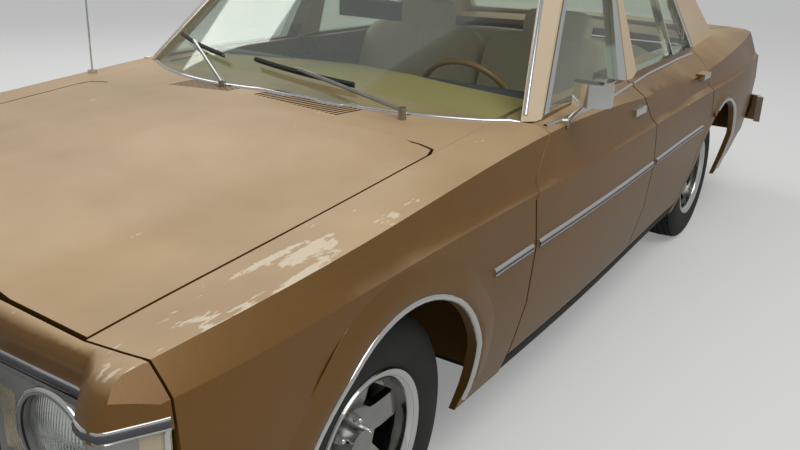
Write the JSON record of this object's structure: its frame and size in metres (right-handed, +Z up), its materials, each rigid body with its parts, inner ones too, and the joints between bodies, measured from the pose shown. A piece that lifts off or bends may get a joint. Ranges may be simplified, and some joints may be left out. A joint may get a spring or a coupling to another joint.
{
  "type": "compact four-door saloon car",
  "caption": "Compact four-door saloon car of the middle 1970s with opening doors, hood and trunk lid, steered front wheels and turning wheels",
  "frame": {"origin": "on the ground under the middle of the car's length and width", "axes": "+X forward, +Y to the car's left, +Z up"},
  "size_m": [5.022, 1.9219, 1.7],
  "materials": {
    "body_paint": "metallic gold-bronze paint, faded and patchy",
    "underbody_paint": "matt black underbody paint",
    "vinyl_roof": "grained beige vinyl cloth",
    "tinted_glass": "green-tinted glass",
    "chrome_trim": "bright chrome plate",
    "lamp_glass": "pressed clear lamp glass",
    "red_lens": "ribbed red lens",
    "dash_vinyl": "padded tan vinyl",
    "black_plastic": "matt black plastic",
    "seat_vinyl": "light tan pleated vinyl",
    "engine_iron": "painted cast iron",
    "bare_steel": "dull plated steel",
    "black_steel": "black chassis paint",
    "mirror_glass": "silvered glass in a bright case",
    "tan_plastic": "tan wood-look plastic",
    "wheel_chrome": "plated pressed steel",
    "tyre_rubber": "black tyre rubber"
  },
  "bodies": {
    "root": {"floor_pan": "underbody_paint", "cowl_and_firewall": "body_paint", "header_panel": "body_paint", "front_fenders": "body_paint", "rear_body": "body_paint", "roof_and_pillars": "vinyl_roof", "windshield_and_backlight": "tinted_glass", "grille": "chrome_trim", "front_lamps": "lamp_glass", "tail_lamps": "red_lens", "front_bumper": "chrome_trim", "rear_bumper": "chrome_trim", "dashboard": "dash_vinyl", "steering_column": "black_plastic", "front_seat": "seat_vinyl", "rear_seat": "seat_vinyl", "engine": "engine_iron", "fuel_tank": "bare_steel", "exhaust": "bare_steel", "front_suspension": "black_steel", "rear_axle": "black_steel", "wipers": "chrome_trim", "aerial": "chrome_trim", "interior_mirror": "mirror_glass"},
    "door_front_left": {"door_front_left": "body_paint", "glass_front_left": "tinted_glass", "door_mirror": "chrome_trim"},
    "door_front_right": {"door_front_right": "body_paint", "glass_front_right": "tinted_glass"},
    "door_rear_left": {"door_rear_left": "body_paint", "glass_rear_left": "tinted_glass"},
    "door_rear_right": {"door_rear_right": "body_paint", "glass_rear_right": "tinted_glass"},
    "hood": {"hood": "body_paint"},
    "trunk_lid": {"trunk_lid": "body_paint"},
    "knuckle_left": {"knuckle_left": "engine_iron"},
    "knuckle_right": {"knuckle_right": "engine_iron"},
    "steering_wheel": {"steering_wheel": "tan_plastic"},
    "wheel_front_left": {"rim_front_left": "wheel_chrome", "tyre_front_left": "tyre_rubber"},
    "wheel_front_right": {"rim_front_right": "wheel_chrome", "tyre_front_right": "tyre_rubber"},
    "wheel_rear_left": {"rim_rear_left": "wheel_chrome", "tyre_rear_left": "tyre_rubber"},
    "wheel_rear_right": {"rim_rear_right": "wheel_chrome", "tyre_rear_right": "tyre_rubber"}
  },
  "joints": [
    {"name": "steer_left", "type": "hinge", "parent": "root", "child": "knuckle_left", "pos_m": [1.58, 0.6775, 0.325], "axis": [0, 0, 1], "range_deg": [-33, 33]},
    {"name": "steer_right", "type": "hinge", "parent": "root", "child": "knuckle_right", "pos_m": [1.58, -0.6775, 0.325], "axis": [0, 0, 1], "range_deg": [-33, 33]},
    {"name": "steering_wheel_turn", "type": "hinge", "parent": "root", "child": "steering_wheel", "pos_m": [0.29, 0.35, 0.835], "axis": [-0.9063, 0, 0.4226], "range_deg": [-660, 660]},
    {"name": "wheel_front_left_spin", "type": "hinge", "parent": "knuckle_left", "child": "wheel_front_left", "pos_m": [1.58, 0.7495, 0.325], "axis": [0, 1, 0], "continuous": true},
    {"name": "wheel_front_right_spin", "type": "hinge", "parent": "knuckle_right", "child": "wheel_front_right", "pos_m": [1.58, -0.7495, 0.325], "axis": [0, 1, 0], "continuous": true},
    {"name": "wheel_rear_left_spin", "type": "hinge", "parent": "root", "child": "wheel_rear_left", "pos_m": [-1.211, 0.733, 0.325], "axis": [0, 1, 0], "continuous": true},
    {"name": "wheel_rear_right_spin", "type": "hinge", "parent": "root", "child": "wheel_rear_right", "pos_m": [-1.211, -0.733, 0.325], "axis": [0, 1, 0], "continuous": true},
    {"name": "door_front_left_hinge", "type": "hinge", "parent": "root", "child": "door_front_left", "pos_m": [0.943, 0.931, 0.6], "axis": [0, 0, -1], "range_deg": [0, 68]},
    {"name": "door_front_right_hinge", "type": "hinge", "parent": "root", "child": "door_front_right", "pos_m": [0.943, -0.931, 0.6], "axis": [0, 0, 1], "range_deg": [0, 68]},
    {"name": "door_rear_left_hinge", "type": "hinge", "parent": "root", "child": "door_rear_left", "pos_m": [-0.091, 0.931, 0.6], "axis": [0, 0, -1], "range_deg": [0, 66]},
    {"name": "door_rear_right_hinge", "type": "hinge", "parent": "root", "child": "door_rear_right", "pos_m": [-0.091, -0.931, 0.6], "axis": [0, 0, 1], "range_deg": [0, 66]},
    {"name": "hood_hinge", "type": "hinge", "parent": "root", "child": "hood", "pos_m": [1.09, 0, 0.961], "axis": [0, -1, 0], "range_deg": [0, 50]},
    {"name": "trunk_lid_hinge", "type": "hinge", "parent": "root", "child": "trunk_lid", "pos_m": [-1.75, 0, 0.983], "axis": [0, 1, 0], "range_deg": [0, 65]}
  ],
  "couplings": [
    {"joint": "steer_right", "follows": "steer_left", "ratio": 1},
    {"joint": "steering_wheel_turn", "follows": "steer_left", "ratio": 20}
  ]
}
